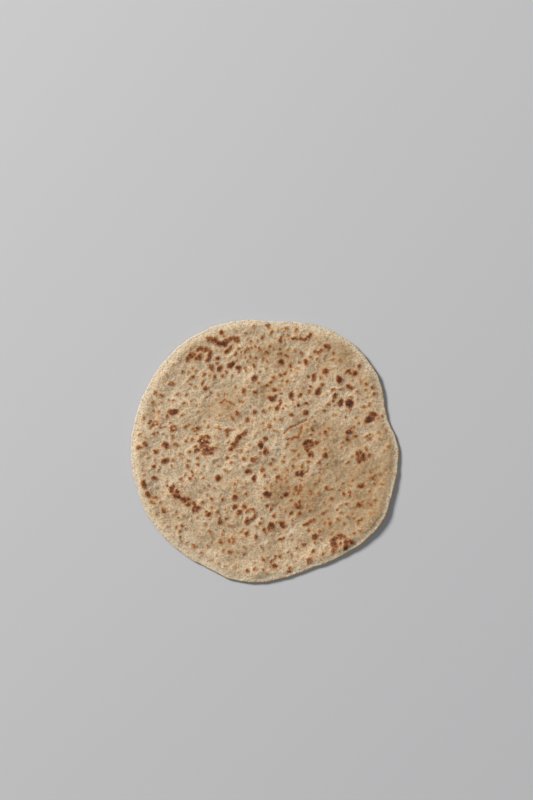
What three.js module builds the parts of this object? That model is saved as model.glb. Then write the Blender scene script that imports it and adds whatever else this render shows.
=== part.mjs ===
// A round wholemeal flatbread: one disc of dough, rolled thin by hand and baked in one piece.
// It lies on its underside, flat in the middle, with an edge that curls up a little in places.
//
// Millimetres, +Z up. The origin is on the surface that the bread rests on, under the middle of
// the bread's outline.

import * as THREE from "three";

// Driving dimensions, in millimetres and degrees. Angles turn from +X towards +Y.
const MEAN_RADIUS = 124.6;
const THICKNESS = 2.6;
const RIM_THICKNESS = 2.0;

// Fractions of the radius: the underside is flat inside the first, and the bread thins out to
// its rim beyond the second.
const REST_FRACTION = 0.55;
const THINNING_FRACTION = 0.86;

// Where the hand-rolled outline swells out or draws in, over how many degrees, and how far.
const OUTLINE_WAVES = [
  { at: 16, spread: 7, out: -6.3 },
  { at: 51, spread: 15, out: 4.5 },
  { at: 86, spread: 9, out: -3.8 },
  { at: 128, spread: 12, out: 1.6 },
  { at: 182, spread: 11, out: 0.9 },
  { at: 210, spread: 6, out: 1.0 },
  { at: 242, spread: 8, out: -1.9 },
  { at: 258, spread: 6, out: 1.0 },
  { at: 290, spread: 12, out: -5.2 },
  { at: 328, spread: 9, out: 4.4 },
  { at: 356, spread: 8, out: 1.4 },
];

// Where the edge curls up off the surface, over how many degrees, and how high.
const EDGE_CURLS = [
  { at: 48, spread: 20, up: 2.2 },
  { at: 126, spread: 24, up: 1.3 },
  { at: 178, spread: 12, up: 0.7 },
  { at: 222, spread: 20, up: 1.8 },
  { at: 270, spread: 12, up: 0.6 },
  { at: 330, spread: 17, up: 2.6 },
];

// Slow swells of the upper face, where the dough is thicker or thinner: wavelengths along X and
// Y, and height.
const SWELLS = [
  { alongX: 62, alongY: -148, height: 0.16 },
  { alongX: 131, alongY: 57, height: 0.14 },
  { alongX: -43, alongY: 71, height: 0.08 },
];

// How finely the mesh follows the shape.
const SECTORS = 96;
const UPPER_RINGS = 10;
const LOWER_RINGS = 6;
const RIM_STEPS = 4;

const FULL_TURN = 360;
const HALF_TURN = 180;

/** A smooth bump round the rim, 1 at the angle `at`, that falls away over `spread` degrees. */
function rimBell(angle, at, spread) {
  const turn = THREE.MathUtils.euclideanModulo(angle - at + HALF_TURN, FULL_TURN) - HALF_TURN;
  return Math.exp(-0.5 * (turn / spread) ** 2);
}

/** Distance from the middle to the outermost edge, in the direction of an angle. */
function outlineRadius(angle) {
  return OUTLINE_WAVES.reduce(
    (radius, { at, spread, out }) => radius + out * rimBell(angle, at, spread),
    MEAN_RADIUS,
  );
}

/** Height of the underside over the surface, at an angle and a fraction of the radius. */
function undersideHeight(angle, fraction) {
  const reach = Math.max(0, (fraction - REST_FRACTION) / (1 - REST_FRACTION));
  const curl = EDGE_CURLS.reduce((sum, { at, spread, up }) => sum + up * rimBell(angle, at, spread), 0);
  return curl * reach ** 2;
}

/** Thickness of the bread at a point of the plan, which is a fraction of the way to the edge. */
function thicknessAt(x, y, fraction) {
  const thinning = THREE.MathUtils.smoothstep(fraction, THINNING_FRACTION, 1);
  const swell = SWELLS.reduce(
    (sum, { alongX, alongY, height }) =>
      sum + height * Math.sin(2 * Math.PI * (x / alongX + y / alongY)),
    0,
  );
  return THREE.MathUtils.lerp(THICKNESS + swell, RIM_THICKNESS, thinning);
}

/** A point of the upper or lower face. */
function facePoint(angle, fraction, upper) {
  const radians = THREE.MathUtils.degToRad(angle);
  const radius = (outlineRadius(angle) - RIM_THICKNESS / 2) * fraction;
  const x = radius * Math.cos(radians);
  const y = radius * Math.sin(radians);
  const thickness = upper ? thicknessAt(x, y, fraction) : 0;
  return new THREE.Vector3(x, y, undersideHeight(angle, fraction) + thickness);
}

/** A point of the rounded rim, whose section is a half circle from the upper to the lower face. */
function rimPoint(angle, tilt) {
  const radians = THREE.MathUtils.degToRad(angle);
  const rimRadius = RIM_THICKNESS / 2;
  const radius = outlineRadius(angle) - rimRadius + rimRadius * Math.cos(tilt);
  const height = undersideHeight(angle, 1) + rimRadius + rimRadius * Math.sin(tilt);
  return new THREE.Vector3(radius * Math.cos(radians), radius * Math.sin(radians), height);
}

/** The rings of points that cover the bread, from the middle of the top round to the underside. */
function ringMakers() {
  const upper = Array.from({ length: UPPER_RINGS }, (_, i) => (i + 1) / UPPER_RINGS);
  const rim = Array.from({ length: RIM_STEPS - 1 }, (_, i) => Math.PI * (0.5 - (i + 1) / RIM_STEPS));
  const lower = Array.from({ length: LOWER_RINGS }, (_, i) =>
    THREE.MathUtils.lerp(1, REST_FRACTION, i / (LOWER_RINGS - 1)),
  );
  return [
    ...upper.map((fraction) => (angle) => facePoint(angle, fraction, true)),
    ...rim.map((tilt) => (angle) => rimPoint(angle, tilt)),
    ...lower.map((fraction) => (angle) => facePoint(angle, fraction, false)),
  ];
}

/** The closed body of the bread: a fan at each middle, and bands of triangles between rings. */
function breadGeometry() {
  const makers = ringMakers();
  const points = [facePoint(0, 0, true)];
  for (const pointAt of makers) {
    for (let sector = 0; sector < SECTORS; sector += 1) {
      points.push(pointAt((sector * FULL_TURN) / SECTORS));
    }
  }
  points.push(facePoint(0, 0, false));

  const last = points.length - 1;
  const at = (ring, sector) => 1 + ring * SECTORS + (sector % SECTORS);
  const indices = [];
  for (let sector = 0; sector < SECTORS; sector += 1) {
    indices.push(0, at(0, sector), at(0, sector + 1));
    for (let ring = 0; ring < makers.length - 1; ring += 1) {
      indices.push(at(ring, sector), at(ring + 1, sector), at(ring + 1, sector + 1));
      indices.push(at(ring, sector), at(ring + 1, sector + 1), at(ring, sector + 1));
    }
    indices.push(last, at(makers.length - 1, sector + 1), at(makers.length - 1, sector));
  }

  const geometry = new THREE.BufferGeometry().setFromPoints(points);
  geometry.setIndex(indices);
  geometry.computeBoundingBox();
  const middle = geometry.boundingBox.getCenter(new THREE.Vector3());
  geometry.translate(-middle.x, -middle.y, 0);
  geometry.computeVertexNormals();
  return geometry;
}

/** The bread itself, in pale baked wholemeal dough. */
function makeFlatbread() {
  const crust = new THREE.MeshStandardMaterial({ color: 0xcdb48c, roughness: 0.9, metalness: 0 });
  const bread = new THREE.Mesh(breadGeometry(), crust);
  bread.name = "flatbread";
  return bread;
}

const group = new THREE.Group();
group.add(makeFlatbread());

export default group;
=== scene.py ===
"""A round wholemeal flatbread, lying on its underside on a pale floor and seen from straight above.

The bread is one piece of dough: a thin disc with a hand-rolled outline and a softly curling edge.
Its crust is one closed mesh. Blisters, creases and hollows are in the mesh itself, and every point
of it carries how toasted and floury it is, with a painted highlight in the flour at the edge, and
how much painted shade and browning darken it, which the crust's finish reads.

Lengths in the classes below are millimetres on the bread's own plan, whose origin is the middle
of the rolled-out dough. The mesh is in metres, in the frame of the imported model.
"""

import logging
import math
from dataclasses import dataclass, field
from enum import Enum

import bpy
import numpy as np
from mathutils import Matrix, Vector


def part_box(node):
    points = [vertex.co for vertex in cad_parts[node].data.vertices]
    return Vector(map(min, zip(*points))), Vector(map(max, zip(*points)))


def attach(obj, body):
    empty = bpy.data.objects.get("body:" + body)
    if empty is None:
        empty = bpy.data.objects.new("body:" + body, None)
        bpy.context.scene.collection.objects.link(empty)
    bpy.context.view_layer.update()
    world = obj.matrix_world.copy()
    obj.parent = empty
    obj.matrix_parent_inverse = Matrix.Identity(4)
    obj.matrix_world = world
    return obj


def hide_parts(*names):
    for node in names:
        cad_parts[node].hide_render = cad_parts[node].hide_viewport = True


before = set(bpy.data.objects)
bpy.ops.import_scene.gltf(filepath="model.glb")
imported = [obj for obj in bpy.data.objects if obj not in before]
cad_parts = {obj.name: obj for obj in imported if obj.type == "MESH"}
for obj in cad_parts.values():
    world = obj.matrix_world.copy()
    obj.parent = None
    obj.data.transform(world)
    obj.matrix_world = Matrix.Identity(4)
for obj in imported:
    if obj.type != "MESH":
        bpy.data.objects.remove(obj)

LOG = logging.getLogger("flatbread")
NODE = "flatbread"
MM = 0.001

# Sockets of a colour-mixing node, some of which share their names with others.
MIX_SHARE, MIX_FIRST, MIX_SECOND = 0, 6, 7
MIX_RESULT = 2

Array = np.ndarray
Colour = tuple[float, float, float, float]


class Toast(Enum):
    """How deeply the hot plate toasted a place, from 0, plain dough, to 1, dark brown."""

    AMBER = 0.56
    BROWN = 0.76
    DARK = 0.94
    CHARRED = 1.12


# The blisters that stand out most on the upper face, by how deeply they toasted: x, y, length,
# width, and turn in degrees from +X towards +Y. The strings, patches, rings and showers below
# make all the others.
UPPER_BLISTERS = {
    Toast.CHARRED: (
        (70, 66, 6, 5, -70),
        (79, 43, 8, 7, 70),
        (98, 29, 9, 6, 30),
        (-4, 5, 7, 4, 90),
        (30, -22, 5, 4, 70),
        (35, -22, 5, 4, 80),
        (-16, -20, 5, 4, 0),
        (-10, -26, 5, 3, 80),
        (3, -41, 7, 5, 0),
        (19, -41, 5, 4, 0),
    ),
    Toast.DARK: (
        # The top.
        (-32, 80, 8, 5, 40),
        (-42, 76, 5, 4, 70),
        (-10, 67, 6, 4, 60),
        (58, 97, 5, 4, 0),
        (38, 82, 5, 4, -80),
        (25, 52, 7, 4, 80),
        (50, 55, 7, 4, 60),
        (71, 44, 7, 4, 75),
        # The left.
        (-86, 36, 9, 5, 10),
        (-93, 5, 7, 5, -20),
        (-93, -10, 7, 4, 10),
        (-44, -26, 5, 4, 0),
        (-113, -32, 8, 4, -80),
        (-109, -42, 6, 4, -60),
        # The right.
        (101, 34, 7, 4, -10),
        (38, 35, 5, 4, 40),
        (79, 17, 6, 4, 0),
        (90, -33, 6, 4, 20),
        # The bottom.
        (-28, -53, 5, 4, 35),
        (-19, -53, 4, 4, 0),
        (-24, -58, 5, 4, 45),
        (-16, -67, 5, 4, 60),
        (17, -70, 7, 5, -80),
        (47, -81, 6, 5, 90),
    ),
}

# Strings of blisters that ran together: the points each runs through, its width and its toasting.
UPPER_STRINGS = (
    # The hooked one on the upper left, and the long wavy one above it.
    (((-74, 82), (-71, 88), (-66, 90)), 3.8, Toast.DARK),
    (((-66, 90), (-64, 85), (-60, 89)), 3.0, Toast.DARK),
    (((-63, 94), (-55, 95), (-50, 91), (-55, 83)), 3.0, Toast.DARK),
    (((-55, 104), (-50, 105), (-43, 99), (-38, 100), (-30, 105), (-26, 102)), 3.8, Toast.DARK),
    # The top right.
    (((26, 105), (38, 103), (43, 109)), 2.4, Toast.DARK),
    (((46, 94), (50, 91), (54, 93)), 2.4, Toast.DARK),
    (((47, 72), (45, 65)), 3.0, Toast.DARK),
    # Round the middle.
    (((-42, 44), (-37, 47), (-28, 43)), 2.2, Toast.BROWN),
    (((-28, 37), (-25, 32)), 2.4, Toast.BROWN),
    (((11, 38), (15, 46)), 2.8, Toast.DARK),
    (((-18, 18), (-25, 11), (-33, -1)), 2.8, Toast.DARK),
    (((21, 10), (32, 12)), 2.2, Toast.DARK),
    # The lobed patch on the lower right, and the one beside it.
    (((62, -88), (69, -81), (80, -84), (82, -88)), 4.2, Toast.DARK),
    (((66, -85), (67, -91), (63, -95)), 3.8, Toast.BROWN),
    (((75, -83), (75, -90), (79, -92)), 4.0, Toast.DARK),
    (((36, -69), (46, -66)), 3.0, Toast.DARK),
)

# Places where many small blisters scorched side by side on toasted ground: x, y, length, width,
# turn, how toasted the ground is, how many blisters, their size and their toasting.
UPPER_PATCHES = (
    # The large scorch left of the middle, and the one right of it.
    (-57, 8, 13, 8, 75, 0.58, 10, 2.8, Toast.DARK),
    (-53, -1, 13, 7, 15, 0.58, 9, 2.8, Toast.DARK),
    (-63, 2, 11, 4, 20, 0.3, 5, 2.4, Toast.DARK),
    (-45, 5, 8, 4, 60, 0.3, 3, 2.4, Toast.BROWN),
    (40, 4, 12, 7, 80, 0.7, 6, 3.4, Toast.CHARRED),
    (43, -3, 9, 5, -40, 0.6, 4, 3.0, Toast.CHARRED),
    (47, 6, 8, 3, 25, 0.4, 3, 2.4, Toast.DARK),
    # The long scorch on the lower left.
    (-83, -39, 13, 8, -45, 0.24, 8, 3.6, Toast.DARK),
    (-76, -46, 14, 9, -40, 0.28, 9, 3.6, Toast.DARK),
    (-67, -53, 13, 8, -40, 0.24, 8, 3.4, Toast.DARK),
    # Smaller ones.
    (-103, 26, 26, 13, 75, 0.2, 15, 2.2, Toast.BROWN),
    (72, -86, 22, 16, 20, 0.16, 4, 2.6, Toast.DARK),
    (89, -6, 8, 8, 0, 0.6, 6, 4.0, Toast.CHARRED),
    (80, 59, 7, 4, 0, 0.5, 4, 3.6, Toast.DARK),
    (31, -51, 9, 6, -10, 0.45, 6, 3.4, Toast.DARK),
    (43, -102, 7, 5, 40, 0.3, 5, 2.6, Toast.BROWN),
    # Broad gatherings of fine ones.
    (-15, 88, 30, 16, 30, 0.1, 18, 1.8, Toast.BROWN),
    (28, 60, 40, 30, 40, 0.12, 24, 1.8, Toast.AMBER),
    (-40, 42, 42, 28, 0, 0.12, 26, 1.8, Toast.AMBER),
    (20, 35, 30, 22, 40, 0.12, 9, 1.8, Toast.BROWN),
    (80, 34, 40, 26, -30, 0.1, 10, 1.8, Toast.BROWN),
    (26, -34, 44, 34, 20, 0.1, 14, 1.8, Toast.BROWN),
    (88, -26, 34, 22, 70, 0.12, 9, 1.8, Toast.BROWN),
)

# Parts of the face where single blisters rose at random: x, y, length, width and turn of the part,
# how many blisters, their smallest and largest size, and their faintest and deepest toasting.
UPPER_SHOWERS = (
    # Where the larger ones gathered.
    (-30, 82, 50, 26, 20, 13, (3.0, 6.0), (0.6, 0.92)),
    (25, 58, 48, 42, 40, 15, (3.0, 6.0), (0.6, 0.92)),
    (80, 52, 44, 34, -40, 9, (3.0, 6.0), (0.6, 0.9)),
    (32, -28, 46, 36, 0, 12, (3.0, 5.6), (0.56, 0.9)),
    (-5, -60, 90, 40, 0, 17, (3.0, 6.0), (0.6, 0.92)),
    # All the rest, part by part, and fine ones all over.
    (0, 85, 200, 70, 0, 60, (2.4, 5.4), (0.46, 0.84)),
    (-90, 0, 60, 130, 0, 38, (2.4, 5.4), (0.46, 0.86)),
    (5, 5, 120, 80, 0, 48, (2.4, 5.4), (0.46, 0.86)),
    (88, 5, 60, 130, 0, 34, (2.4, 5.2), (0.46, 0.82)),
    (5, -75, 190, 80, 0, 56, (2.4, 5.4), (0.46, 0.84)),
    (0, 0, 236, 236, 0, 460, (1.7, 4.2), (0.3, 0.68)),
)
LOWER_SHOWERS = ((0, 0, 236, 236, 0, 330, (2.7, 6.7), (0.43, 0.79)),)

# Ring-shaped marks, where a blister's edge met the hot plate and its middle didn't: x, y, how far
# across, the ring's width and its toasting.
UPPER_RINGS = (
    (31, -36, 5, 2.6, Toast.BROWN),
    (98, 13, 4, 2.4, Toast.BROWN),
    (-85, 20, 5, 2.4, Toast.BROWN),
    (-31, -84, 5, 2.4, Toast.BROWN),
    (-14, -60, 10, 2.0, Toast.BROWN),
    (53, -20, 5, 2.0, Toast.AMBER),
)

# Creases in the upper face: the points each runs through, its depth (negative for a ridge that
# stands up) and how toasted it is.
UPPER_CREASES = (
    (((18, 106), (31, 104), (38, 103)), 0.35, 0.3),
    (((29, 100), (41, 87), (50, 84)), 0.3, 0.0),
    (((82, 72), (88, 58)), 0.2, 0.1),
    (((18, 16), (22, 21), (31, 24), (39, 28)), 0.35, 0.55),
    (((20, 10), (32, 12), (35, 22)), 0.4, 0.6),
    (((-46, 20), (-40, 19), (-28, 18)), 0.3, 0.5),
    (((-24, -62), (-19, -74), (-13, -78)), 0.3, 0.15),
    (((-36, 84), (-22, 98)), -0.4, 0.0),
    (((-48, -83), (-34, -97), (-27, -98)), 0.2, 0.0),
    (((-91, -24), (-90, -42)), 0.3, 0.0),
    (((44, -64), (60, -58)), 0.25, 0.3),
    (((-69, 98), (-51, 97)), -0.3, 0.0),
)

# Broad places where painted shade, with some even browning, darkens the upper face, or where the
# face is left paler where the last number is negative: x, y, length, width, turn and how much.
UPPER_PAINTED_SHADE_AND_BROWNING = (
    # Painted shade: the right of the bread is darker than the left, and the bottom is the palest.
    (120, -20, 200, 130, 80, 1.1),
    (50, -30, 170, 100, 70, 0.5),
    (-110, 20, 200, 90, 90, -0.5),
    (-65, 65, 150, 70, 45, -0.55),
    (-62, -15, 60, 60, 0, -0.5),
    (-62, -90, 60, 50, 0, -0.5),
    (0, -110, 150, 40, 0, -0.7),
    (65, 95, 80, 35, -35, 0.5),
    (85, -60, 70, 50, 40, 0.3),
    # Painted shade in the dip that runs round inside the left and top edges.
    (-103, 36, 60, 15, 90, 0.5),
    (-78, 80, 60, 15, 45, 0.15),
    (-30, 110, 80, 14, 15, 0.15),
    # Smaller places.
    (27, 66, 40, 30, 40, 0.5),
    (30, 8, 26, 22, 90, 0.3),
    (-40, 42, 45, 30, 0, 0.4),
    (-54, 4, 28, 24, 0, 0.3),
    (10, -55, 80, 35, 0, 0.3),
    (-5, -38, 28, 16, 0, -0.3),
    (75, -13, 26, 18, 0, -0.3),
    (98, -54, 32, 14, 60, -0.4),
)

# Broad shallow hollows in the upper face: x, y, length, width, turn and depth.
UPPER_HOLLOWS = (
    (65, 92, 22, 9, 85, 0.5),
    (-104, 36, 56, 14, 86, 0.5),
    (-78, 81, 54, 13, 44, 0.4),
    (-30, 110, 74, 12, 16, 0.35),
    (-96, -42, 24, 12, -70, 0.4),
    (95, -28, 34, 12, 70, 0.35),
    (83, -61, 20, 9, 88, 0.4),
    (-60, 45, 30, 18, 40, 0.3),
    (10, -12, 34, 20, -30, 0.3),
    (55, -95, 30, 12, 20, 0.3),
    (20, 90, 24, 16, 30, 0.3),
)


def srgb(red: int, green: int, blue: int) -> Colour:
    """A display colour, given as 0 to 255, as the linear colour that shaders use.

    Args:
        red: display value of red.
        green: display value of green.
        blue: display value of blue.

    Returns:
        The linear colour, opaque.
    """
    def linear(value: int) -> float:
        """One display value as a linear one."""
        share = value / 255
        return share / 12.92 if share <= 0.04045 else ((share + 0.055) / 1.055) ** 2.4
    return (linear(red), linear(green), linear(blue), 1.0)


def smooth_step(low: float, high: float, value: Array) -> Array:
    """0 below `low`, 1 above `high`, and a smooth rise between them."""
    share = np.clip((value - low) / (high - low), 0, 1)
    return share * share * (3 - 2 * share)


def nearest_on_line(x: Array, y: Array, points: tuple[tuple[float, float], ...]) -> Array:
    """Distance of every point from a line through a few points.

    Args:
        x: plan coordinates.
        y: plan coordinates.
        points: the points that the line runs through.

    Returns:
        The distances.
    """
    nearest = np.full(x.shape, np.inf)
    for (x0, y0), (x1, y1) in zip(points, points[1:]):
        run_x, run_y = x1 - x0, y1 - y0
        share = np.clip(((x - x0) * run_x + (y - y0) * run_y) / (run_x ** 2 + run_y ** 2), 0, 1)
        nearest = np.minimum(nearest, np.hypot(x - x0 - share * run_x, y - y0 - share * run_y))
    return nearest


@dataclass(frozen=True)
class RimBell:
    """A smooth bump of some amount, centred on one direction round the rim.

    Args:
        at: direction of the middle, in degrees from +X towards +Y.
        spread: how many degrees it takes to fall away.
        amount: its size at the middle, in millimetres.
    """

    at: float
    spread: float
    amount: float

    def value(self, angle: Array) -> Array:
        """The bump's size in each direction of `angle`, in degrees."""
        turn = (angle - self.at + 180) % 360 - 180
        return self.amount * np.exp(-0.5 * (turn / self.spread) ** 2)


@dataclass(frozen=True)
class DoughDisc:
    """The rolled-out dough: its outline, its thickness and how its edge curls off the floor."""

    mean_radius: float = 124.6
    thickness: float = 2.6
    rim_thickness: float = 2.0
    rest_fraction: float = 0.55
    thinning_fraction: float = 0.86
    outline_waves: tuple[RimBell, ...] = (
        RimBell(16, 7, -6.3),
        RimBell(51, 15, 4.5),
        RimBell(86, 9, -3.8),
        RimBell(128, 12, 1.6),
        RimBell(182, 11, 0.9),
        RimBell(210, 6, 1.0),
        RimBell(242, 8, -1.9),
        RimBell(258, 6, 1.0),
        RimBell(290, 12, -5.2),
        RimBell(328, 9, 4.4),
        RimBell(356, 8, 1.4),
    )
    edge_curls: tuple[RimBell, ...] = (
        RimBell(48, 20, 2.2),
        RimBell(126, 24, 1.3),
        RimBell(178, 12, 0.7),
        RimBell(222, 20, 1.8),
        RimBell(270, 12, 0.6),
        RimBell(330, 17, 2.6),
    )
    # Fine unevenness of the edge: waves round the rim, start in degrees, and size.
    ripples: tuple[tuple[int, float, float], ...] = ((23, 40, 0.22), (41, 130, 0.16), (67, 20, 0.1))
    # Slow swells of the upper face: wavelengths along X and Y, and height.
    swells: tuple[tuple[float, float, float], ...] = ((62, -148, 0.16), (131, 57, 0.14), (-43, 71, 0.08))

    def outline(self, angle: Array) -> Array:
        """Distance from the middle to the outermost edge, in each direction."""
        radius = self.mean_radius + sum(wave.value(angle) for wave in self.outline_waves)
        for count, start, size in self.ripples:
            radius = radius + size * np.sin(np.radians(count * angle + start))
        return radius

    def plan(self, angle: Array, fraction: Array) -> tuple[Array, Array]:
        """Points of the plan that lie part of the way to the rim.

        Args:
            angle: directions, in degrees.
            fraction: how far out, from 0 at the middle to 1 where the rim starts.

        Returns:
            The points' x and y.
        """
        radius = (self.outline(angle) - self.rim_thickness / 2) * fraction
        return radius * np.cos(np.radians(angle)), radius * np.sin(np.radians(angle))

    def underside(self, angle: Array, fraction: Array) -> Array:
        """Height of the underside over the floor."""
        reach = np.maximum(0, (fraction - self.rest_fraction) / (1 - self.rest_fraction))
        return sum(curl.value(angle) for curl in self.edge_curls) * reach ** 2

    def depth(self, x: Array, y: Array, fraction: Array) -> Array:
        """Thickness of the dough, from its underside to its upper face without blisters.

        Args:
            x: plan coordinates.
            y: plan coordinates.
            fraction: how far out each point is, from 0 at the middle to 1 where the rim starts.

        Returns:
            The thicknesses.
        """
        thinning = smooth_step(self.thinning_fraction, 1, fraction)
        swell = sum(
            height * np.sin(2 * math.pi * (x / along_x + y / along_y))
            for along_x, along_y, height in self.swells
        )
        return (self.thickness + swell) * (1 - thinning) + self.rim_thickness * thinning


@dataclass
class DoughNoise:
    """Smooth random unevenness of the dough, the same on every run.

    Args:
        seed: chooses the pattern.
        span: width of the square of plan that the pattern covers, in millimetres.
    """

    seed: int
    span: float = 400.0
    random: np.random.Generator = field(init=False)

    def __post_init__(self) -> None:
        """Starts the random numbers."""
        self.random = np.random.default_rng(self.seed)

    def layer(self, x: Array, y: Array, wavelength: float) -> Array:
        """One layer of bumps, with a typical height of 1.

        Args:
            x: plan coordinates.
            y: plan coordinates.
            wavelength: size of the bumps, in millimetres.

        Returns:
            The layer's value at every point.
        """
        cells = int(self.span / wavelength) + 3
        heading = self.random.uniform(0, 2 * math.pi, (cells, cells))
        turn = self.random.uniform(0, 2 * math.pi)
        across = (x * math.cos(turn) - y * math.sin(turn) + self.span / 2) / wavelength
        along = (x * math.sin(turn) + y * math.cos(turn) + self.span / 2) / wavelength
        column, row = np.floor(across).astype(int), np.floor(along).astype(int)
        across, along = across - column, along - row

        def pull(right: int, up: int) -> Array:
            """How far one corner of its cell raises or lowers each point."""
            lean = heading[column + right, row + up]
            return np.cos(lean) * (across - right) + np.sin(lean) * (along - up)

        ease_across = across ** 3 * (across * (across * 6 - 15) + 10)
        ease_along = along ** 3 * (along * (along * 6 - 15) + 10)
        low = pull(0, 0) * (1 - ease_across) + pull(1, 0) * ease_across
        high = pull(0, 1) * (1 - ease_across) + pull(1, 1) * ease_across
        bumps = low * (1 - ease_along) + high * ease_along
        return bumps / bumps.std()


@dataclass(frozen=True)
class Oval:
    """An oval place on the bread's plan.

    Args:
        x: middle on the plan.
        y: middle on the plan.
        length: size along its turn.
        width: size across its turn.
        turn: degrees from +X towards +Y.
    """

    x: float
    y: float
    length: float
    width: float
    turn: float

    def heading(self) -> tuple[float, float]:
        """Cosine and sine of the turn."""
        return math.cos(math.radians(self.turn)), math.sin(math.radians(self.turn))

    def share(self, x: Array, y: Array) -> Array:
        """Distance from the middle as a share of the way to the edge."""
        across, along = x - self.x, y - self.y
        cosine, sine = self.heading()
        lengthwise = (across * cosine + along * sine) / (self.length / 2)
        crosswise = (along * cosine - across * sine) / (self.width / 2)
        return np.hypot(lengthwise, crosswise)

    def outside(self, x: Array, y: Array) -> Array:
        """About how far each point is outside the edge, negative inside."""
        return (self.share(x, y) - 1) * math.sqrt(self.length * self.width) / 2

    def random_point(self, random: np.random.Generator) -> tuple[float, float]:
        """A point at random inside the oval, with no part of it likelier than another."""
        reach = 0.5 * math.sqrt(random.uniform(0, 1))
        angle = random.uniform(0, 2 * math.pi)
        along = reach * self.length * math.cos(angle)
        across = reach * self.width * math.sin(angle)
        cosine, sine = self.heading()
        return self.x + along * cosine - across * sine, self.y + along * sine + across * cosine


@dataclass(frozen=True)
class Blister(Oval):
    """One blister, or any oval place that differs from the crust round it.

    Args:
        amount: how deeply toasted, or how deep.
    """

    amount: float


@dataclass(frozen=True)
class BlisterString:
    """Blisters that ran together along a line.

    Args:
        points: the points that the line runs through.
        width: how wide the string is.
        toast: how deeply it toasted.
        spacing: how far apart its blisters are, in widths.
        scatter: how far off the line a blister may be, in widths.
        lean: how far off the line's direction it may turn, in degrees.
        sizes: the smallest and the largest blister, in widths.
        lengths: the least and the most length for its size.
        widths: the least and the most width for its size.
        toasts: the faintest and the deepest share of the string's toasting.
    """

    points: tuple[tuple[float, float], ...]
    width: float
    toast: Toast
    spacing: float = 0.85
    scatter: float = 0.25
    lean: float = 40.0
    sizes: tuple[float, float] = (0.75, 1.35)
    lengths: tuple[float, float] = (1.0, 1.4)
    widths: tuple[float, float] = (0.8, 1.0)
    toasts: tuple[float, float] = (0.75, 1.1)

    def blisters(self, random: np.random.Generator) -> list[Blister]:
        """The string's blisters, each close enough to the next to touch it.

        Args:
            random: the source of random numbers.

        Returns:
            The blisters, from one end of the line to the other.
        """
        found = []
        for (x0, y0), (x1, y1) in zip(self.points, self.points[1:]):
            steps = max(1, round(math.hypot(x1 - x0, y1 - y0) / (self.spacing * self.width)))
            turn = math.degrees(math.atan2(y1 - y0, x1 - x0))
            for step in range(steps):
                share = (step + random.uniform(0.3, 0.7)) / steps
                size = self.width * random.uniform(*self.sizes)
                found.append(Blister(
                    x0 + share * (x1 - x0) + self.scatter * self.width * random.uniform(-1, 1),
                    y0 + share * (y1 - y0) + self.scatter * self.width * random.uniform(-1, 1),
                    size * random.uniform(*self.lengths),
                    size * random.uniform(*self.widths),
                    turn + random.uniform(-self.lean, self.lean),
                    self.toast.value * random.uniform(*self.toasts),
                ))
        return found


@dataclass(frozen=True)
class ScorchedPatch(Oval):
    """Many small blisters that scorched side by side on toasted ground.

    Args:
        ground: how deeply the ground between them toasted.
        count: how many blisters there are.
        size: a typical blister's size.
        toast: how deeply the blisters toasted.
        sizes: the least and the most share of the typical size.
        lengths: the least and the most length for its size.
        widths: the least and the most width for its size.
        toasts: the faintest and the deepest share of the patch's toasting.
    """

    ground: float
    count: int
    size: float
    toast: Toast
    sizes: tuple[float, float] = (0.6, 1.2)
    lengths: tuple[float, float] = (1.0, 1.4)
    widths: tuple[float, float] = (0.7, 1.0)
    toasts: tuple[float, float] = (0.85, 1.1)

    def blisters(self, random: np.random.Generator) -> list[Blister]:
        """The patch's blisters and the toasted ground under them.

        Args:
            random: the source of random numbers.

        Returns:
            One oval for the ground, then the small ones.
        """
        found = [Blister(self.x, self.y, self.length, self.width, self.turn, self.ground)]
        for _ in range(self.count):
            x, y = self.random_point(random)
            size = self.size * random.uniform(*self.sizes)
            found.append(Blister(
                x,
                y,
                size * random.uniform(*self.lengths),
                size * random.uniform(*self.widths),
                random.uniform(0, 180),
                self.toast.value * random.uniform(*self.toasts),
            ))
        return found


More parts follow.
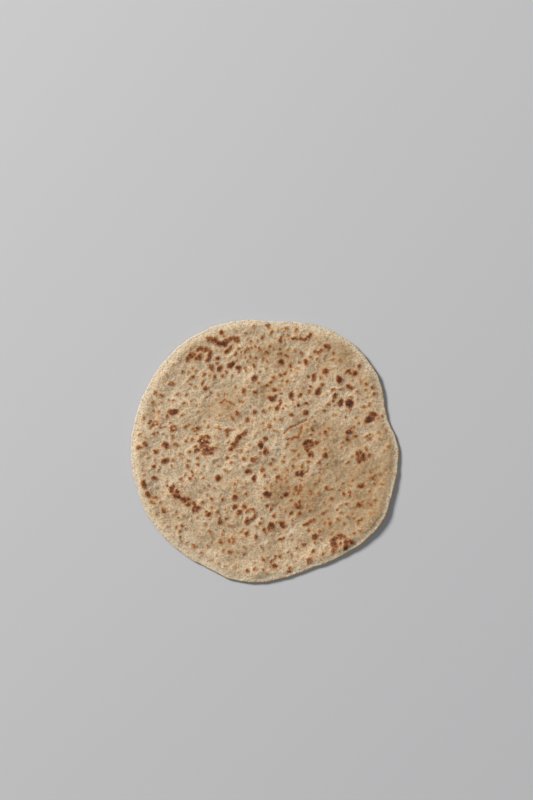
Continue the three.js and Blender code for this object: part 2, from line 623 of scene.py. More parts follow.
@dataclass(frozen=True)
class BlisterShower(Oval):
    """Blisters that rose at random over one part of the bread, singly or as touching pairs.

    Args:
        count: about how many blisters there are, where there is room for them.
        sizes: the smallest and the largest.
        toasts: the faintest and the deepest toasting of the smallest ones.
        deepening: how much deeper a blister toasted for each millimetre that it is larger.
        clearance: the least gap between blisters that aren't a pair.
        faint: toasted ground fainter than this leaves room for blisters on it.
        tries: how many places are tried for each blister, before the rest are left out.
        paired: the share of blisters that have a smaller one beside them.
    """

    count: int
    sizes: tuple[float, float]
    toasts: tuple[float, float]
    deepening: float = 0.07
    clearance: float = 1.3
    faint: float = 0.25
    tries: int = 60
    paired: float = 0.45

    def partner(self, random: np.random.Generator, blister: Blister) -> Blister:
        """A smaller blister that touches a given one."""
        towards = random.uniform(0, 2 * math.pi)
        away = 0.7 * blister.length * random.uniform(0.8, 1.1)
        size = blister.length * random.uniform(0.45, 0.8)
        return Blister(
            blister.x + away * math.cos(towards),
            blister.y + away * math.sin(towards),
            size,
            size * random.uniform(0.55, 1.0),
            math.degrees(towards) + random.uniform(-40, 40),
            blister.amount * random.uniform(0.65, 1.0),
        )

    def blisters(self, random: np.random.Generator, placed: list[Blister], reach: float) -> list[Blister]:
        """The shower's blisters, which keep clear of the ones that are there already.

        Args:
            random: the source of random numbers.
            placed: the blisters that are there already.
            reach: how far from the middle of the bread a blister may rise.

        Returns:
            The new blisters.
        """
        smallest, largest = self.sizes
        solid = [blister for blister in placed if blister.amount > self.faint]
        taken = np.array([(blister.x, blister.y, blister.length / 2) for blister in solid]).reshape(-1, 3)
        found: list[Blister] = []
        for _ in range(self.tries * self.count):
            if len(found) >= self.count:
                break
            x, y = self.random_point(random)
            size = smallest + (largest - smallest) * random.uniform(0, 1) ** 2
            toast = random.uniform(*self.toasts) + self.deepening * (size - smallest)
            slim, turn = random.uniform(0.5, 1.0), random.uniform(0, 180)
            gaps = np.hypot(taken[:, 0] - x, taken[:, 1] - y) - taken[:, 2] - size / 2
            if math.hypot(x, y) < reach and gaps.min(initial=math.inf) > self.clearance:
                found.append(Blister(x, y, size, size * slim, turn, toast))
                taken = np.vstack([taken, (x, y, size / 2)])
                if random.uniform(0, 1) < self.paired:
                    found.append(self.partner(random, found[-1]))
        return found


@dataclass(frozen=True)
class BlisterRing:
    """A blister that toasted round its edge and stayed pale in the middle.

    Args:
        x: middle on the plan.
        y: middle on the plan.
        across: how far across the ring is.
        width: how wide its toasted edge is.
        toast: how deeply the edge toasted.
    """

    x: float
    y: float
    across: float
    width: float
    toast: Toast

    def blisters(self, random: np.random.Generator) -> list[Blister]:
        """The ring, as a string of small blisters with a gap at a random place.

        Args:
            random: the source of random numbers.

        Returns:
            The small blisters, in order round the ring.
        """
        start = random.uniform(0, 360)
        turns = np.radians(start + np.linspace(0, 310, 8))
        points = tuple(
            (self.x + self.across / 2 * math.cos(turn), self.y + self.across / 2 * math.sin(turn))
            for turn in turns
        )
        return BlisterString(points, self.width, self.toast).blisters(random)


@dataclass(frozen=True)
class Crease:
    """A thin groove, or a ridge where its depth is negative.

    Args:
        points: the points that it runs through.
        depth: how deep it is.
        toast: how deeply it toasted.
    """

    points: tuple[tuple[float, float], ...]
    depth: float
    toast: float


@dataclass
class CrustField:
    """What baking did to the crust at every point of one face.

    Args:
        height: how far the crust stands above the plain dough, in millimetres.
        toast: how deeply toasted it is, 0 to about 1.2.
        flour: how pale and floury it is, 0 to 1.
        painted_shade_and_browning: how much painted shade and even browning darken it between the toasted
            marks, 0 to 1.
    """

    height: Array
    toast: Array
    flour: Array
    painted_shade_and_browning: Array


@dataclass
class Baking:
    """Makes one face's blisters, scorch marks, creases and unevenness.

    Args:
        disc: the dough.
        seed: chooses the random part of the pattern.
        blisters: the single blisters that stand out.
        showers: parts where single blisters rose at random.
        strings: strings of blisters, given one by one.
        patches: scorched patches, given one by one.
        rings: ring-shaped marks, given one by one.
        creases: creases, given one by one.
        hollows: broad shallow hollows, given one by one.
        painted_shade_and_browned: broad places of painted shade and even browning, given one by one.
    """

    disc: DoughDisc
    seed: int
    blisters: tuple[Blister, ...] = ()
    showers: tuple[BlisterShower, ...] = ()
    strings: tuple[BlisterString, ...] = ()
    patches: tuple[ScorchedPatch, ...] = ()
    rings: tuple[BlisterRing, ...] = ()
    creases: tuple[Crease, ...] = ()
    hollows: tuple[Blister, ...] = ()
    painted_shade_and_browned: tuple[Blister, ...] = ()
    # Pillowy unevenness: wavelength and typical height.
    bumps: tuple[tuple[float, float], ...] = (
        (40.0, 0.42),
        (18.0, 0.27),
        (9.0, 0.155),
        (4.6, 0.07),
        (2.6, 0.02),
    )
    # How far the marks' edges wander off a plain oval: wavelength and typical distance.
    wander: tuple[tuple[float, float], ...] = ((9.0, 0.3), (4.6, 0.2), (2.4, 0.09))
    # How softly a toasted place fades, inside and outside its edge.
    fade_inside: float = 1.5
    fade_outside: float = 2.0
    # Marks are deeper towards one side: their share of the toasting in the middle, how much it
    # changes across them, and its least and most.
    slant_middle: float = 0.95
    slant: float = 0.5
    slant_limits: tuple[float, float] = (0.6, 1.15)
    # A faint glow round every mark: its share of the toasting, and how far it reaches.
    glow: float = 0.3
    glow_reach: float = 3.0
    # How high a well toasted blister stands, a faint one's share of that, and where its side starts
    # and ends, from its edge.
    lift: float = 0.85
    faint_lift: float = 0.4
    side: tuple[float, float] = (-1.2, 2.6)
    # The floury ring round every blister: how far from its edge, and how wide.
    halo: tuple[float, float] = (2.4, 1.0)
    # A crease's width, where its lip is in widths, and the lip's height as a share of the depth.
    groove: float = 1.15
    lip_place: float = 2.2
    lip_share: float = 0.4
    # Patchy flour, and patchy painted shade and browning: the level, then wavelengths and typical
    # strengths.
    flour_level: float = 0.5
    flour_patches: tuple[tuple[float, float], ...] = ((26.0, 0.28), (9.0, 0.16))
    flour_shares: tuple[float, float] = (0.45, 0.6)
    painted_shade_and_browning_level: float = 0.18
    painted_shade_and_browning_patches: tuple[tuple[float, float], ...] = ((44.0, 0.26), (20.0, 0.2))
    # How far out blisters rise, as a share of the radius.
    shower_reach: float = 0.95

    @staticmethod
    def uneven(noise: DoughNoise, x: Array, y: Array, layers: tuple[tuple[float, float], ...]) -> Array:
        """Layers of unevenness on top of each other, each with a wavelength and a typical size."""
        return sum(size * noise.layer(x, y, wavelength) for wavelength, size in layers)

    @staticmethod
    def dip(place: Blister, x: Array, y: Array) -> Array:
        """A broad place's amount at every point, which fades softly past its edge."""
        return place.amount * np.exp(-2 * place.share(x, y) ** 2)

    def bake(self, x: Array, y: Array) -> CrustField:
        """Works out the crust at every point of the face.

        Args:
            x: plan coordinates.
            y: plan coordinates.

        Returns:
            The crust's height, toasting, flouriness, and painted shade and browning there.
        """
        noise = DoughNoise(self.seed)
        height = self.uneven(noise, x, y, self.bumps)
        ragged_x = x + self.uneven(noise, x, y, self.wander)
        ragged_y = y + self.uneven(noise, x, y, self.wander)

        blisters = list(self.blisters)
        for group in (*self.strings, *self.patches, *self.rings):
            blisters += group.blisters(noise.random)
        for shower in self.showers:
            blisters += shower.blisters(noise.random, blisters, self.shower_reach * self.disc.mean_radius)

        toast, dome, flour = np.zeros(x.shape), np.zeros(x.shape), np.zeros(x.shape)
        for blister in blisters:
            outside = blister.outside(ragged_x, ragged_y)
            towards = noise.random.uniform(0, 2 * math.pi)
            lean = (x - blister.x) * math.cos(towards) + (y - blister.y) * math.sin(towards)
            share = self.slant_middle + self.slant * lean / blister.length
            depth = blister.amount * np.clip(share, *self.slant_limits)
            core = depth * (1 - smooth_step(-self.fade_inside, self.fade_outside, outside))
            strength = min(blister.amount, 1.0)
            glow = self.glow * strength * np.exp(-((np.maximum(outside, 0) / self.glow_reach) ** 2))
            toast = np.maximum(toast, np.maximum(core, glow))
            lift = self.lift * (self.faint_lift + (1 - self.faint_lift) * strength)
            dome = np.maximum(dome, lift * (1 - smooth_step(*self.side, outside)))
            away, wide = self.halo
            flour = np.maximum(flour, np.exp(-(((outside - away) / wide) ** 2)))

        for crease in self.creases:
            away = nearest_on_line(ragged_x, ragged_y, crease.points) / self.groove
            groove = np.exp(-(away ** 2))
            lip = np.exp(-((away - self.lip_place) ** 2))
            height = height - crease.depth * (groove - self.lip_share * lip)
            toast = np.maximum(toast, crease.toast * groove)

        for hollow in self.hollows:
            height = height - self.dip(hollow, x, y)

        floury = self.flour_level + self.uneven(noise, x, y, self.flour_patches)
        halo_share, patch_share = self.flour_shares
        flour = np.clip(halo_share * flour + patch_share * floury, 0, 1)
        # Painted shade and browning: a level with random patches, then the broad places listed for it.
        painted_shade_and_browning = self.painted_shade_and_browning_level + self.uneven(noise, x, y, self.painted_shade_and_browning_patches)
        for place in self.painted_shade_and_browned:
            painted_shade_and_browning = painted_shade_and_browning + self.dip(place, x, y)
        return CrustField(height + dome, toast, flour, np.clip(painted_shade_and_browning, 0, 1))


@dataclass
class FlatbreadCrust:
    """The whole bread as one closed mesh, with its baking in the mesh.

    Args:
        disc: the dough.
        upper: the baking of the upper face.
        lower: the baking of the underside.
        cells: squares across the upper face; the underside has half as many.
        rim_steps: bands of faces round the rim's half-round section.
        rest_gap: least height of the underside's crust over the floor, in millimetres.
        sink: how far a plain part of the underside is over the floor, between its blisters.
        sink_share: how much of a blister's height brings the underside back down to the floor.
        rim_calm: how much of the upper face's unevenness is gone at the rim.
        calm_start: where the upper face starts to calm down, as a fraction of the radius.
        upper_bare: where the upper face's toasting starts to end, as a fraction of the radius.
        lower_bare: where the underside's does.
        lower_flour: where the underside's floury edge starts and is full, as fractions.
        settle_start: where the underside starts to come down to the plain dough, as a fraction.
        lip_height: how far the puffed lip of the upper face stands up.
        lip_inset: how far the lip's crest is from the edge.
        lip_reach: how far from the edge the lip ends.
        lip_flour_and_highlight: how floury and pale the edge is, with a painted highlight, where over 1
            makes it fully pale.
        flour_and_highlight_insets: how far from the edge its flour and painted highlight start to fade,
            and end.
    """

    disc: DoughDisc
    upper: Baking
    lower: Baking
    cells: int = 272
    rim_steps: int = 4
    rest_gap: float = 0.0
    sink: float = 0.35
    sink_share: float = 0.8
    rim_calm: float = 0.75
    calm_start: float = 0.955
    upper_bare: float = 0.97
    lower_bare: float = 0.96
    lower_flour: tuple[float, float] = (0.95, 0.995)
    settle_start: float = 0.9
    lip_height: float = 0.95
    lip_inset: float = 7.0
    lip_reach: float = 17.0
    lip_flour_and_highlight: float = 1.25
    flour_and_highlight_insets: tuple[float, float] = (1.5, 9.0)

    @staticmethod
    def grid(cells: int) -> tuple[Array, Array]:
        """A square grid bent into a disc: each point's direction and fraction of the radius.

        Args:
            cells: squares across the grid.

        Returns:
            Directions in degrees and fractions from 0 to 1, row by row.
        """
        steps = np.linspace(-1, 1, cells + 1)
        across, along = np.meshgrid(steps, steps)
        sideways = np.abs(across) > np.abs(along)
        reach = np.where(sideways, across, along)
        safe = np.where(reach == 0, 1, reach)
        turn = np.where(sideways, 45 * along / safe, 90 - 45 * across / safe)
        angle = turn + np.where(reach < 0, 180, 0)
        return angle.ravel(), np.abs(reach).ravel()

    @staticmethod
    def border(cells: int) -> Array:
        """Indices of the grid's border points, in order round the disc."""
        row = cells + 1
        first = np.arange(cells)
        return np.concatenate([
            first,
            cells + first * row,
            cells * row + cells - first,
            (cells - first) * row,
        ])

    @staticmethod
    def squares(cells: int) -> Array:
        """The grid's faces, each as four indices, facing up."""
        column, line = np.meshgrid(np.arange(cells), np.arange(cells))
        corner = (line * (cells + 1) + column).ravel()
        return np.stack([corner, corner + 1, corner + cells + 2, corner + cells + 1], axis=1)

    def upper_face(self) -> tuple[Array, CrustField]:
        """Points of the upper face, on the plan, and its crust."""
        angle, fraction = self.grid(self.cells)
        x, y = self.disc.plan(angle, fraction)
        crust = self.upper.bake(x, y)
        inset = (1 - fraction) * self.disc.outline(angle)
        calm = 1 - self.rim_calm * smooth_step(self.calm_start, 1, fraction)
        crest = smooth_step(0, self.lip_inset, inset)
        crest = crest * (1 - smooth_step(self.lip_inset, self.lip_reach, inset))
        crust.toast = crust.toast * (1 - smooth_step(self.upper_bare, 1, fraction))
        # Flour and a painted highlight make the edge pale.
        edge_flour_and_highlight = self.lip_flour_and_highlight * (1 - smooth_step(*self.flour_and_highlight_insets, inset))
        crust.flour = np.maximum(crust.flour, edge_flour_and_highlight)
        # The painted shade and browning fade out towards the edge.
        crust.painted_shade_and_browning = crust.painted_shade_and_browning * smooth_step(0, self.lip_inset, inset)
        z = self.disc.underside(angle, fraction) + self.disc.depth(x, y, fraction)
        z = z + calm * crust.height + self.lip_height * crest
        return np.stack([x, y, z], axis=1), crust

    def lower_face(self) -> tuple[Array, CrustField]:
        """Points of the underside, on the plan, and its crust."""
        angle, fraction = self.grid(self.cells // 2)
        x, y = self.disc.plan(angle, fraction)
        crust = self.lower.bake(x, y)
        crust.toast = crust.toast * (1 - smooth_step(self.lower_bare, 1, fraction))
        crust.flour = np.maximum(crust.flour, smooth_step(*self.lower_flour, fraction))
        sunk = np.maximum(self.rest_gap, self.sink - self.sink_share * crust.height)
        sunk = sunk * (1 - smooth_step(self.settle_start, 1, fraction))
        z = self.disc.underside(angle, fraction) + sunk
        return np.stack([x, y, z], axis=1), crust

    def rim(self, top: Array, tilt: float) -> Array:
        """One ring of the rounded rim.

        Args:
            top: the upper face's border points.
            tilt: where on the half round, from 90 at the top to -90 at the bottom.

        Returns:
            The ring's points, one for each border point.
        """
        angle = np.degrees(np.arctan2(top[:, 1], top[:, 0]))
        rim_radius = self.disc.rim_thickness / 2
        foot = self.disc.underside(angle, np.ones(angle.shape))
        radius = self.disc.outline(angle) - rim_radius * (1 - math.cos(math.radians(tilt)))
        middle, half = (top[:, 2] + foot) / 2, (top[:, 2] - foot) / 2
        z = middle + half * math.sin(math.radians(tilt))
        turn = np.radians(angle)
        return np.stack([radius * np.cos(turn), radius * np.sin(turn), z], axis=1)

    def faces(self, upper_count: int) -> list[list[int]]:
        """All the faces, as lists of indices of points.

        Args:
            upper_count: how many points the upper face has; the rim's and underside's come after.

        Returns:
            The faces of the upper face, the rim and the underside, all facing out.
        """
        loop = self.border(self.cells)
        count = len(loop)
        rings = [loop]
        rings += [upper_count + step * count + np.arange(count) for step in range(self.rim_steps - 1)]
        bands = [
            np.stack([above, below, np.roll(below, -1), np.roll(above, -1)], axis=1)
            for above, below in zip(rings, rings[1:])
        ]
        lower_start = upper_count + (self.rim_steps - 1) * count
        foot = lower_start + self.border(self.cells // 2)
        last, next_foot = rings[-1], np.roll(foot, -1)
        even, odd, after = last[0::2], last[1::2], np.roll(last[0::2], -1)
        skirt = np.concatenate([
            np.stack([even, foot, odd], axis=1),
            np.stack([odd, foot, next_foot], axis=1),
            np.stack([odd, next_foot, after], axis=1),
        ])
        underside = lower_start + self.squares(self.cells // 2)[:, ::-1]
        quads = np.concatenate([self.squares(self.cells), *bands, underside])
        return quads.tolist() + skirt.tolist()

    def build(self, finish: "CrustFinish") -> bpy.types.Object:
        """Makes the bread's mesh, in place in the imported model's frame, and dresses it.

        Args:
            finish: the crust's finish.

        Returns:
            The bread, riding on the root body in place of the plain packed one.
        """
        upper, upper_crust = self.upper_face()
        lower, lower_crust = self.lower_face()
        border = upper[self.border(self.cells)]
        tilts = [90 - 180 * step / self.rim_steps for step in range(1, self.rim_steps)]
        rings = [self.rim(border, tilt) for tilt in tilts]
        points = np.concatenate([upper, *rings, lower])

        low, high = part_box(NODE)
        middle = (points.min(axis=0) + points.max(axis=0)) / 2
        points = points * MM
        points[:, 0] += (low.x + high.x) / 2 - middle[0] * MM
        points[:, 1] += (low.y + high.y) / 2 - middle[1] * MM
        points[:, 2] += low.z

        mesh = bpy.data.meshes.new("flatbread_crust")
        mesh.from_pydata(points.tolist(), [], self.faces(len(upper)))
        mesh.shade_smooth()
        # The rim is fully pale, from flour and a painted highlight, with no painted shade or toasting.
        for name, at_rim in (("toast", 0.0), ("flour", 1.0), ("painted_shade_and_browning", 0.0)):
            rim = np.full(len(border) * len(rings), at_rim)
            values = [getattr(upper_crust, name), rim, getattr(lower_crust, name)]
            self.store(mesh, name, np.concatenate(values))
        mesh.materials.append(finish.material())

        crust = bpy.data.objects.new("flatbread_crust", mesh)
        bpy.context.scene.collection.objects.link(crust)
        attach(crust, "root")
        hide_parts(NODE)
        return crust

    @staticmethod
    def store(mesh: bpy.types.Mesh, name: str, values: Array) -> None:
        """Writes one number for every point of a mesh, under a name that finishes can read."""
        layer = mesh.attributes.new(name, "FLOAT", "POINT")
        layer.data.foreach_set("value", values.astype(np.float32))


@dataclass
class NodeBench:
    """A material's nodes, with short ways to add the kinds that the finishes use."""

    tree: bpy.types.NodeTree

    def add(self, kind: str, **settings: object) -> bpy.types.Node:
        """Adds a node of one kind and sets its options."""
        node = self.tree.nodes.new(kind)
        for name, value in settings.items():
            setattr(node, name, value)
        return node

    def feed(self, socket: bpy.types.NodeSocket, source: object) -> None:
        """Links a source into a socket, or sets the socket where the source is a plain value."""
        if isinstance(source, bpy.types.NodeSocket):
            self.tree.links.new(source, socket)
        else:
            socket.default_value = source

    def number(self, operation: str, first: object, second: object = 0.0) -> bpy.types.NodeSocket:
        """Arithmetic on two numbers.

        Args:
            operation: what to do, such as ADD or MULTIPLY.
            first: a socket or a number.
            second: a socket or a number.

        Returns:
            The socket that holds the result.
        """
        node = self.add("ShaderNodeMath", operation=operation)
        self.feed(node.inputs[0], first)
        self.feed(node.inputs[1], second)
        return node.outputs[0]

    def rise(self, value: object, low: float, high: float) -> bpy.types.NodeSocket:
        """0 below `low`, 1 above `high`, and a smooth rise between them."""
        node = self.add("ShaderNodeMapRange", interpolation_type="SMOOTHSTEP")
        self.feed(node.inputs["Value"], value)
        node.inputs["From Min"].default_value = low
        node.inputs["From Max"].default_value = high
        return node.outputs["Result"]

    def blend(
        self, share: object, first: object, second: object, mode: str = "MIX"
    ) -> bpy.types.NodeSocket:
        """Mixes two colours.

        Args:
            share: how much of the second colour shows.
            first: a socket or a colour.
            second: a socket or a colour.
            mode: how the colours combine.

        Returns:
            The socket that holds the mixed colour.
        """
        node = self.add("ShaderNodeMix", data_type="RGBA", blend_type=mode)
        self.feed(node.inputs[MIX_SHARE], share)
        self.feed(node.inputs[MIX_FIRST], first)
        self.feed(node.inputs[MIX_SECOND], second)
        return node.outputs[MIX_RESULT]

    def ramp(self, value: object, stops: tuple[tuple[float, Colour], ...]) -> bpy.types.NodeSocket:
        """A run of colours along a value."""
        node = self.add("ShaderNodeValToRGB")
        elements = node.color_ramp.elements
        while len(elements) < len(stops):
            elements.new(0.5)
        for element, (position, colour) in zip(elements, stops):
            element.position = position
            element.color = colour
        self.feed(node.inputs[0], value)
        return node.outputs[0]

    def speckle(
        self, place: object, size: float, detail: float = 2.0, rough: float = 0.5
    ) -> bpy.types.NodeSocket:
        """Soft random speckle, about 0.5, whose grains are about `size` millimetres.

        Args:
            place: where on the crust.
            size: size of the largest grains.
            detail: how many finer layers of grains there are.
            rough: how strong the finer layers are.

        Returns:
            The socket that holds the speckle.
        """
        node = self.add("ShaderNodeTexNoise", noise_dimensions="3D")
        self.feed(node.inputs["Vector"], place)
        node.inputs["Scale"].default_value = 1 / (size * MM)
        node.inputs["Detail"].default_value = detail
        node.inputs["Roughness"].default_value = rough
        return node.outputs["Fac"]

    def cells(self, place: object, size: float) -> tuple[bpy.types.NodeSocket, bpy.types.NodeSocket]:
        """Random points about `size` millimetres apart: distance to the nearest, and its colour."""
        node = self.add("ShaderNodeTexVoronoi", voronoi_dimensions="3D", feature="F1")
        self.feed(node.inputs["Vector"], place)
        node.inputs["Scale"].default_value = 1 / (size * MM)
        return node.outputs["Distance"], node.outputs["Color"]

    def stored(self, name: str) -> bpy.types.NodeSocket:
        """A number stored at every point of the mesh."""
        return self.add("ShaderNodeAttribute", attribute_name=name).outputs["Fac"]


@dataclass(frozen=True)
class Grains:
    """Grains of a second colour, scattered unevenly over the crust.

    Args:
        size: size of the largest grains, in millimetres.
        start: how strong the speckle is where a grain starts to show.
        full: how strong it is where a grain shows fully.
        share: how much of a grain's colour shows.
        detail: how many finer layers of grains there are.
        rough: how strong the finer layers are.
    """

    size: float
    start: float
    full: float
    share: float
    detail: float = 3.0
    rough: float = 0.7

    def over(
        self, bench: NodeBench, place: object, under: object, colour: Colour
    ) -> bpy.types.NodeSocket:
        """Adds the grains to a colour.

        Args:
            bench: the material's nodes.
            place: where on the crust.
            under: the socket or colour that the grains lie on.
            colour: the grains' colour.

        Returns:
            The socket that holds the colour with its grains.
        """
        speckle = bench.speckle(place, self.size, self.detail, self.rough)
        shown = bench.number("MULTIPLY", bench.rise(speckle, self.start, self.full), self.share)
        return bench.blend(shown, under, colour)


@dataclass(frozen=True)
class CrustFinish:
    """Matte, floury wholemeal crust with toasted marks, bran flecks, a fine grain, and painted shade and
    browning.
    """

    dough: Colour = srgb(204, 176, 136)
    tan: Colour = srgb(162, 125, 90)
    cream: Colour = srgb(228, 214, 187)
    # Painted shade: the colour that darkens the crust, with some even browning, where the stored shade is
    # high.
    painted_shade_and_browned: Colour = srgb(221, 212, 199)
    ash: Colour = srgb(176, 160, 132)
    golden: Colour = srgb(187, 136, 84)
    toasted: Colour = srgb(161, 103, 61)
    brown: Colour = srgb(131, 79, 49)
    charred: Colour = srgb(82, 46, 33)
    bran: Colour = srgb(134, 90, 60)
    roughness: float = 0.86
    specular: float = 0.22
    sheen: float = 0.05
    sheen_roughness: float = 0.6
    # How much smoother toasted crust is, and how far the roughness varies.
    toast_shine: float = 0.16
    rough_spread: float = 0.12
    # How much of the flour's colour shows, and how deep the fine grain is, in metres.
    flour_share: float = 0.66
    grain_depth: float = 0.00033
    mottle: Grains = Grains(6.0, 0.36, 0.64, 0.75, detail=4.0)
    dust: Grains = Grains(3.4, 0.48, 0.68, 0.6)
    bloom: Grains = Grains(1.9, 0.44, 0.62, 0.72)
    freckles: Grains = Grains(1.5, 0.5, 0.64, 0.8)

    def material(self) -> bpy.types.Material:
        """Builds the crust's material.

        Returns:
            The material, which reads the mesh's toast, flour and browning.
        """
        material = bpy.data.materials.new("wholemeal_crust")
        material.use_nodes = True
        bench = NodeBench(material.node_tree)
        shader = bench.tree.nodes["Principled BSDF"]
        place = bench.add("ShaderNodeTexCoord").outputs["Object"]

        toast = self.toast_level(bench, place)
        colour = self.dough_colour(bench, place)
        colour = self.flecks(bench, place, colour)
        colour = bench.blend(bench.rise(toast, 0.06, 0.46), colour, self.toast_colour(bench, toast))
        bench.feed(shader.inputs["Base Color"], colour)

        shine = bench.number("MULTIPLY", bench.rise(toast, 0.5, 1.1), -self.toast_shine)
        spread = bench.number("MULTIPLY", bench.speckle(place, 1.5), self.rough_spread)
        middle = self.roughness - self.rough_spread / 2
        rough = bench.number("ADD", bench.number("ADD", shine, spread), middle)
        bench.feed(shader.inputs["Roughness"], rough)
        shader.inputs["Specular IOR Level"].default_value = self.specular
        shader.inputs["Sheen Weight"].default_value = self.sheen
        shader.inputs["Sheen Roughness"].default_value = self.sheen_roughness
        bench.feed(shader.inputs["Normal"], self.grain(bench, place))
        return material

    def toast_level(self, bench: NodeBench, place: object) -> bpy.types.NodeSocket:
        """How toasted each point looks, with ragged, grainy edges to the marks."""
        stored = bench.stored("toast")
        ragged = bench.number("SUBTRACT", bench.speckle(place, 1.7, detail=3.0, rough=0.7), 0.5)
        strength = bench.number("ADD", bench.number("MULTIPLY", bench.rise(stored, 0.15, 0.7), 1.9), 0.4)
        return bench.number("ADD", stored, bench.number("MULTIPLY", ragged, strength))

    def toast_colour(self, bench: NodeBench, toast: object) -> bpy.types.NodeSocket:
        """The colour of crust that is toasted this much."""
        return bench.ramp(toast, (
            (0.22, self.golden),
            (0.48, self.toasted),
            (0.72, self.brown),
            (1.0, self.charred),
        ))

    def dough_colour(self, bench: NodeBench, place: object) -> bpy.types.NodeSocket:
        """The colour of the crust between the marks, paled at the edge by flour and a painted highlight,
        and darkened by painted shade and browning.
        """
        colour = self.mottle.over(bench, place, self.dough, self.tan)
        flour = bench.number("MULTIPLY", bench.stored("flour"), self.flour_share)
        colour = bench.blend(flour, colour, self.cream)
        colour = self.dust.over(bench, place, colour, self.ash)
        colour = self.bloom.over(bench, place, colour, self.cream)
        # Painted shade and browning multiply the colour down.
        return bench.blend(bench.stored("painted_shade_and_browning"), colour, self.painted_shade_and_browned, mode="MULTIPLY")

    def flecks(self, bench: NodeBench, place: object, colour: object) -> bpy.types.NodeSocket:
        """Adds bran flecks and small golden freckles to a colour."""
        near, pick = bench.cells(place, 2.2)
        chosen = bench.rise(pick, 0.4, 0.45)
        middle = bench.number("SUBTRACT", 1.0, bench.rise(near, 0.16, 0.34))
        fleck = bench.number("MULTIPLY", middle, chosen)
        colour = bench.blend(bench.number("MULTIPLY", fleck, 0.85), colour, self.bran)
        return self.freckles.over(bench, place, colour, self.golden)

    def grain(self, bench: NodeBench, place: object) -> bpy.types.NodeSocket:
        """The fine grain that is too small for the mesh."""
        fine = bench.speckle(place, 0.9, detail=3.0, rough=0.6)
        coarse = bench.speckle(place, 3.2, detail=2.0)
        height = bench.number("ADD", fine, bench.number("MULTIPLY", coarse, 2.0))
        node = bench.add("ShaderNodeBump")
        node.inputs["Strength"].default_value = 1.0
        node.inputs["Distance"].default_value = self.grain_depth
        bench.feed(node.inputs["Height"], height)
        return node.outputs["Normal"]


@dataclass(frozen=True)
class FloorFinish:
    """A plain, pale, matte studio floor."""

    colour: Colour = srgb(200, 201, 204)
    roughness: float = 0.9
    specular: float = 0.1

    def material(self) -> bpy.types.Material:
        """Builds the floor's material."""
        material = bpy.data.materials.new("studio_floor")
        material.use_nodes = True
        shader = material.node_tree.nodes["Principled BSDF"]
        shader.inputs["Base Color"].default_value = self.colour
        shader.inputs["Roughness"].default_value = self.roughness
        shader.inputs["Specular IOR Level"].default_value = self.specular
        return material


@dataclass(frozen=True)
class SoftLight:
    """A large square studio light that faces the bread.

    Args:
        name: its name.
        place: where it stands, in metres.
        size: its side, in metres.
        power: its power, in watts.
        colour: its colour.
    """

    name: str
    place: tuple[float, float, float]
    size: float
    power: float
    colour: tuple[float, float, float] = (1.0, 1.0, 1.0)

    def build(self) -> bpy.types.Object:
        """Makes the light and turns it towards the bread.

        Returns:
            The light.
        """
        data = bpy.data.lights.new(self.name, "AREA")
        data.shape = "SQUARE"
        data.size = self.size
        data.energy = self.power
        data.color = self.colour
        light = bpy.data.objects.new(self.name, data)
        light.location = self.place
        light.rotation_euler = (-Vector(self.place)).to_track_quat("-Z", "Y").to_euler()
        bpy.context.scene.collection.objects.link(light)
        return light


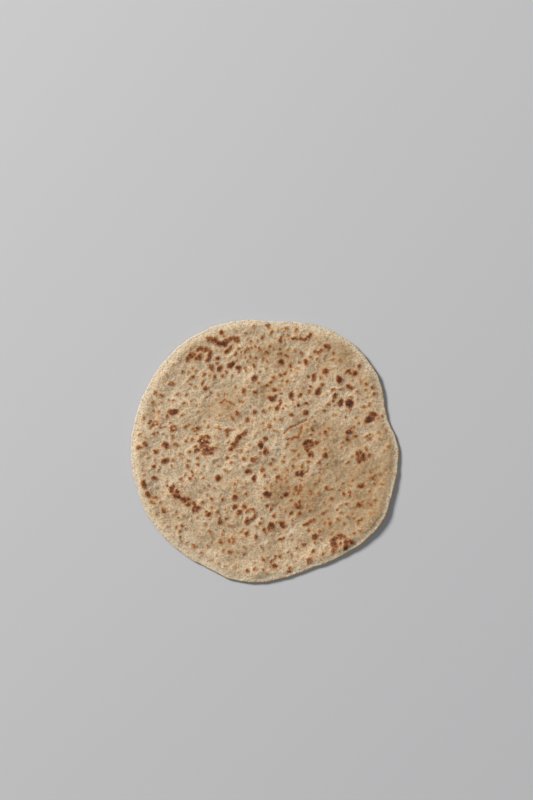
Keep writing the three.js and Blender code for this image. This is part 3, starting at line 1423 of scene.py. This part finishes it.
@dataclass(frozen=True)
class Studio:
    """The floor, the soft light and the camera that looks straight down.

    Args:
        floor_radius: size of the floor, in metres.
        floor_drop: how far the floor is below the bread's rest, in metres.
        lens: the camera's lens, in millimetres.
        bread_share: width of the bread as a share of the picture's height.
        aim: the point of the bread's plane under the middle of the picture, in metres.
        sky: brightness of the light from all round.
        sky_colour: its colour.
        lights: the lamps.
    """

    floor_radius: float = 9.0
    floor_drop: float = 0.0002
    lens: float = 85.0
    bread_share: float = 0.3356
    aim: tuple[float, float] = (0.0015, 0.0478)
    sky: float = 0.18
    sky_colour: Colour = (0.97, 0.98, 1.0, 1.0)
    lights: tuple[SoftLight, ...] = (
        SoftLight("key_light", (-3.6, 3.0, 2.9), 1.4, 380.0, (1.0, 0.98, 0.95)),
        SoftLight("fill_light", (2.4, -1.4, 3.0), 2.4, 15.0),
    )

    def build_floor(self) -> bpy.types.Object:
        """Makes the floor, which isn't part of the object.

        Returns:
            The floor.
        """
        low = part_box(NODE)[0]
        bpy.ops.mesh.primitive_circle_add(vertices=96, radius=self.floor_radius, fill_type="NGON")
        floor = bpy.context.object
        floor.name = "studio_floor"
        floor.location.z = low.z - self.floor_drop
        floor.data.materials.append(FloorFinish().material())
        return floor

    def build_sky(self) -> None:
        """Lights the scene softly from all round."""
        world = bpy.data.worlds.new("studio_sky")
        world.use_nodes = True
        background = world.node_tree.nodes["Background"]
        background.inputs["Color"].default_value = self.sky_colour
        background.inputs["Strength"].default_value = self.sky
        bpy.context.scene.world = world
        bpy.context.scene.view_settings.view_transform = "Standard"

    def build_camera(self) -> bpy.types.Object:
        """Makes the camera, which looks straight down with +Y at the top of the picture.

        Returns:
            The camera.
        """
        data = bpy.data.cameras.new("overhead_camera")
        data.lens = self.lens
        low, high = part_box(NODE)
        picture_height = (high.x - low.x) / self.bread_share
        distance = picture_height * self.lens / data.sensor_width
        camera = bpy.data.objects.new("overhead_camera", data)
        camera.location = (self.aim[0], self.aim[1], high.z + distance)
        bpy.context.scene.collection.objects.link(camera)
        bpy.context.scene.camera = camera
        return camera

    def build(self) -> None:
        """Makes the whole studio."""
        self.build_camera()
        self.build_floor()
        self.build_sky()
        for light in self.lights:
            light.build()
        LOG.info("studio: camera, floor, sky and %d lights", len(self.lights))


def each(kind: type, table: tuple[tuple, ...]) -> tuple:
    """One object of a kind for every row of a table."""
    return tuple(kind(*row) for row in table)


def main() -> None:
    """Builds the studio and the bread."""
    logging.basicConfig(level=logging.INFO, format="%(name)s: %(message)s")
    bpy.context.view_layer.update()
    Studio().build()

    disc = DoughDisc()
    upper = Baking(
        disc,
        seed=11,
        blisters=tuple(
            Blister(*values, toast.value) for toast, group in UPPER_BLISTERS.items() for values in group
        ),
        strings=each(BlisterString, UPPER_STRINGS),
        patches=each(ScorchedPatch, UPPER_PATCHES),
        rings=each(BlisterRing, UPPER_RINGS),
        creases=each(Crease, UPPER_CREASES),
        hollows=each(Blister, UPPER_HOLLOWS),
        painted_shade_and_browned=each(Blister, UPPER_PAINTED_SHADE_AND_BROWNING),
        showers=each(BlisterShower, UPPER_SHOWERS),
    )
    lower = Baking(disc, seed=29, showers=each(BlisterShower, LOWER_SHOWERS))
    crust = FlatbreadCrust(disc, upper, lower).build(CrustFinish())
    LOG.info("%s: %d faces", crust.name, len(crust.data.polygons))


if __name__ == "__main__":
    main()
